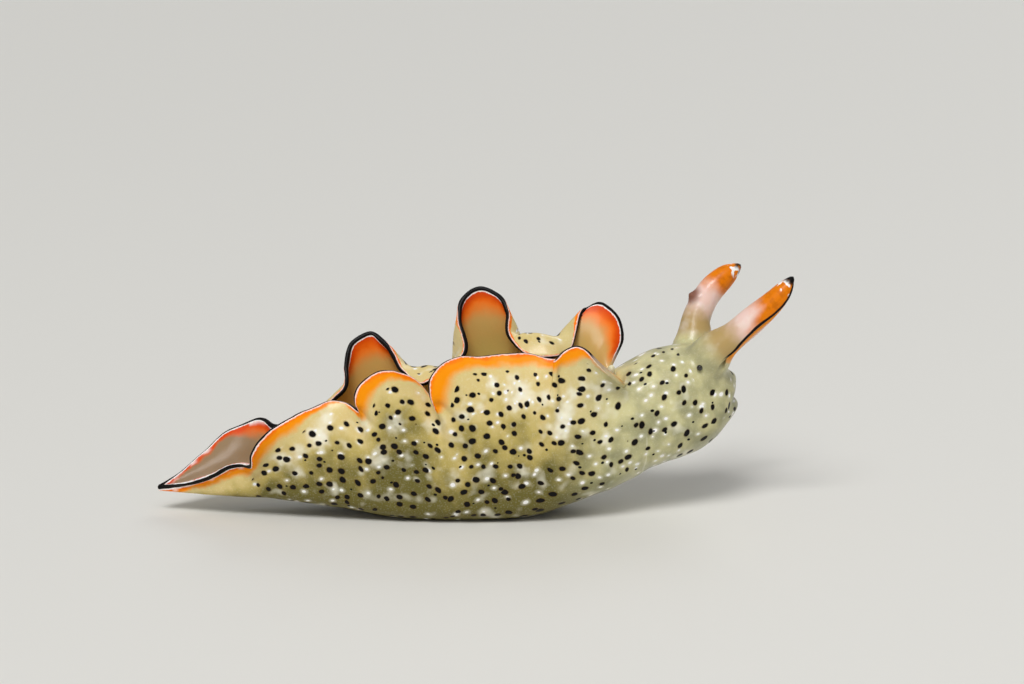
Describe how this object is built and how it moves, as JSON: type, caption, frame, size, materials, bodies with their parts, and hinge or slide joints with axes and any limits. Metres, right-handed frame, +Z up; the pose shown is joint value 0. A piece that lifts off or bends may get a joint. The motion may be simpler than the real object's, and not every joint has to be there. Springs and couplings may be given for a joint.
{
  "type": "frilled sea slug",
  "caption": "Still model of a frilled sea slug gliding with its head raised: rolled feelers, ruffled side flaps edged in orange, white and black, and a tapering tail.",
  "frame": {"origin": "on the floor, on the flat of the sole under the middle of the body", "axes": "+X towards the head, +Y towards the animal's left, +Z up"},
  "size_m": [0.0459, 0.0117, 0.0175],
  "materials": {
    "speckled_flesh": "moist",
    "pale_sole": "moist",
    "banded_frill": "moist",
    "orange_feeler": "moist",
    "black_eye": "gloss"
  },
  "bodies": {
    "root": {"head": "speckled_flesh", "neck": "speckled_flesh", "trunk": "speckled_flesh", "foot": "pale_sole", "tail": "speckled_flesh", "pericardial_hump": "speckled_flesh", "eye_left": "black_eye", "eye_right": "black_eye", "rhinophore_left": "orange_feeler", "rhinophore_right": "orange_feeler", "parapodium_left_front": "banded_frill", "parapodium_left_middle": "banded_frill", "parapodium_left_hind": "banded_frill", "parapodium_left_rear": "banded_frill", "parapodium_right_front": "banded_frill", "parapodium_right_middle": "banded_frill", "parapodium_right_hind": "banded_frill", "parapodium_right_rear": "banded_frill"}
  },
  "joints": []
}
